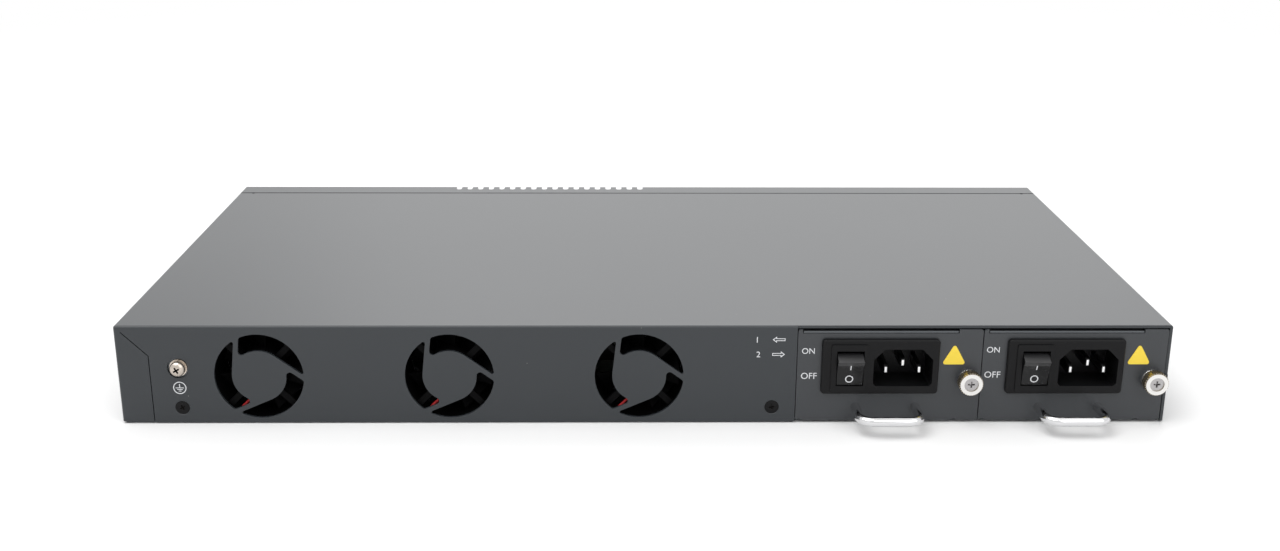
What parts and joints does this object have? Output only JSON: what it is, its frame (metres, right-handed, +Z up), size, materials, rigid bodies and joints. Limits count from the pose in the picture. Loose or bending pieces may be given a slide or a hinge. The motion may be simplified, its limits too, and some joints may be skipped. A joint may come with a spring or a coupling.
{
  "type": "rackmount network switch",
  "caption": "Dark grey rack network switch with rear fan grilles and slide-in power modules, each with a mains inlet, rocker switch, pull handle and thumbscrew.",
  "frame": {"origin": "centre of the underside of the chassis body", "axes": "+X along the width, to the right when the rear face is looked at; +Y from the rear face towards the ports; +Z up"},
  "size_m": [0.44, 0.2463, 0.0436],
  "materials": {
    "painted_steel": "satin powder coat",
    "zinc_steel": "zinc plated",
    "nickel": "nickel plated",
    "chrome": "polished",
    "black_screw": "black oxide",
    "black_plastic": "satin",
    "natural_plastic": "satin",
    "circuit_board": "solder mask",
    "chip_black": "matte",
    "aluminium": "milled",
    "wire": "satin",
    "brass": "turned",
    "yellow_label": "matte film",
    "clear_plastic": "clear"
  },
  "bodies": {
    "chassis": {"top_cover": "painted_steel", "chassis_base": "zinc_steel", "front_panel": "painted_steel", "cover_screws": "black_screw", "earth_screw": "nickel", "earth_washers": "nickel", "earth_nut": "zinc_steel", "fan_frame_1": "black_plastic", "fan_frame_2": "black_plastic", "fan_frame_3": "black_plastic", "fan_leads": "wire", "fan_bracket": "zinc_steel", "fan_screws": "nickel", "bay_wall": "zinc_steel", "bay_divider": "zinc_steel", "bay_bracket": "zinc_steel", "bay_rivets": "zinc_steel", "thumb_nuts": "zinc_steel", "power_backplane": "circuit_board", "power_sockets": "black_plastic", "main_board": "circuit_board", "board_standoffs": "zinc_steel", "board_screws": "nickel", "board_chips": "chip_black", "heat_sink": "aluminium", "copper_ports": "nickel", "fibre_cages": "zinc_steel", "console_port": "nickel", "light_pipes": "clear_plastic", "reset_switch": "black_plastic"},
    "fan_rotor_1": {"fan_rotor_1": "black_plastic"},
    "fan_rotor_2": {"fan_rotor_2": "black_plastic"},
    "fan_rotor_3": {"fan_rotor_3": "black_plastic"},
    "reset_button": {"reset_button": "natural_plastic"},
    "psu_1": {"psu_panel_1": "painted_steel", "psu_case_1": "zinc_steel", "psu_inlet_1": "black_plastic", "psu_pins_1": "chrome", "psu_handle_1": "chrome", "psu_handle_screws_1": "nickel", "psu_ferrule_1": "nickel", "psu_board_1": "circuit_board", "psu_parts_1": "chip_black", "psu_sticker_1": "yellow_label"},
    "rocker_1": {"psu_rocker_1": "black_plastic"},
    "thumb_washer_1": {"psu_thumb_washer_1": "nickel"},
    "thumbscrew_1": {"psu_thumbscrew_1": "brass"},
    "psu_2": {"psu_panel_2": "painted_steel", "psu_case_2": "zinc_steel", "psu_inlet_2": "black_plastic", "psu_pins_2": "chrome", "psu_handle_2": "chrome", "psu_handle_screws_2": "nickel", "psu_ferrule_2": "nickel", "psu_board_2": "circuit_board", "psu_parts_2": "chip_black", "psu_sticker_2": "yellow_label"},
    "rocker_2": {"psu_rocker_2": "black_plastic"},
    "thumb_washer_2": {"psu_thumb_washer_2": "nickel"},
    "thumbscrew_2": {"psu_thumbscrew_2": "brass"}
  },
  "joints": [
    {"name": "fan_spin_1", "type": "hinge", "parent": "chassis", "child": "fan_rotor_1", "pos_m": [-0.1613, -0.101, 0.0213], "axis": [0, 1, 0], "continuous": true},
    {"name": "fan_spin_2", "type": "hinge", "parent": "chassis", "child": "fan_rotor_2", "pos_m": [-0.082, -0.101, 0.0213], "axis": [0, 1, 0], "continuous": true},
    {"name": "fan_spin_3", "type": "hinge", "parent": "chassis", "child": "fan_rotor_3", "pos_m": [-0.0027, -0.101, 0.0213], "axis": [0, 1, 0], "continuous": true},
    {"name": "reset_press", "type": "slide", "parent": "chassis", "child": "reset_button", "axis": [0, -1, 0], "range_m": [0, 0.001], "stiffness_N_per_m": 400, "springref_m": -0.001},
    {"name": "psu_slide_1", "type": "slide", "parent": "chassis", "child": "psu_1", "axis": [0, -1, 0], "range_m": [0, 0.18]},
    {"name": "rocker_tilt_1", "type": "hinge", "parent": "psu_1", "child": "rocker_1", "pos_m": [0.08535, -0.111, 0.02545], "axis": [-1, 0, 0], "range_deg": [0, 20]},
    {"name": "thumb_draw_1", "type": "slide", "parent": "psu_1", "child": "thumb_washer_1", "axis": [0, -1, 0], "range_m": [0, 0.0042]},
    {"name": "thumb_turn_1", "type": "hinge", "parent": "thumb_washer_1", "child": "thumbscrew_1", "pos_m": [0.1356, -0.116, 0.0199], "axis": [0, -1, 0], "range_deg": [0, 2160]},
    {"name": "psu_slide_2", "type": "slide", "parent": "chassis", "child": "psu_2", "axis": [0, -1, 0], "range_m": [0, 0.18]},
    {"name": "rocker_tilt_2", "type": "hinge", "parent": "psu_2", "child": "rocker_2", "pos_m": [0.16305, -0.111, 0.02545], "axis": [-1, 0, 0], "range_deg": [0, 20]},
    {"name": "thumb_draw_2", "type": "slide", "parent": "psu_2", "child": "thumb_washer_2", "axis": [0, -1, 0], "range_m": [0, 0.0042]},
    {"name": "thumb_turn_2", "type": "hinge", "parent": "thumb_washer_2", "child": "thumbscrew_2", "pos_m": [0.2133, -0.116, 0.0199], "axis": [0, -1, 0], "range_deg": [0, 2160]}
  ],
  "couplings": [
    {"joint": "thumb_turn_1", "follows": "thumb_draw_1", "rad_per_m": 8975.9},
    {"joint": "thumb_turn_2", "follows": "thumb_draw_2", "rad_per_m": 8975.9}
  ]
}
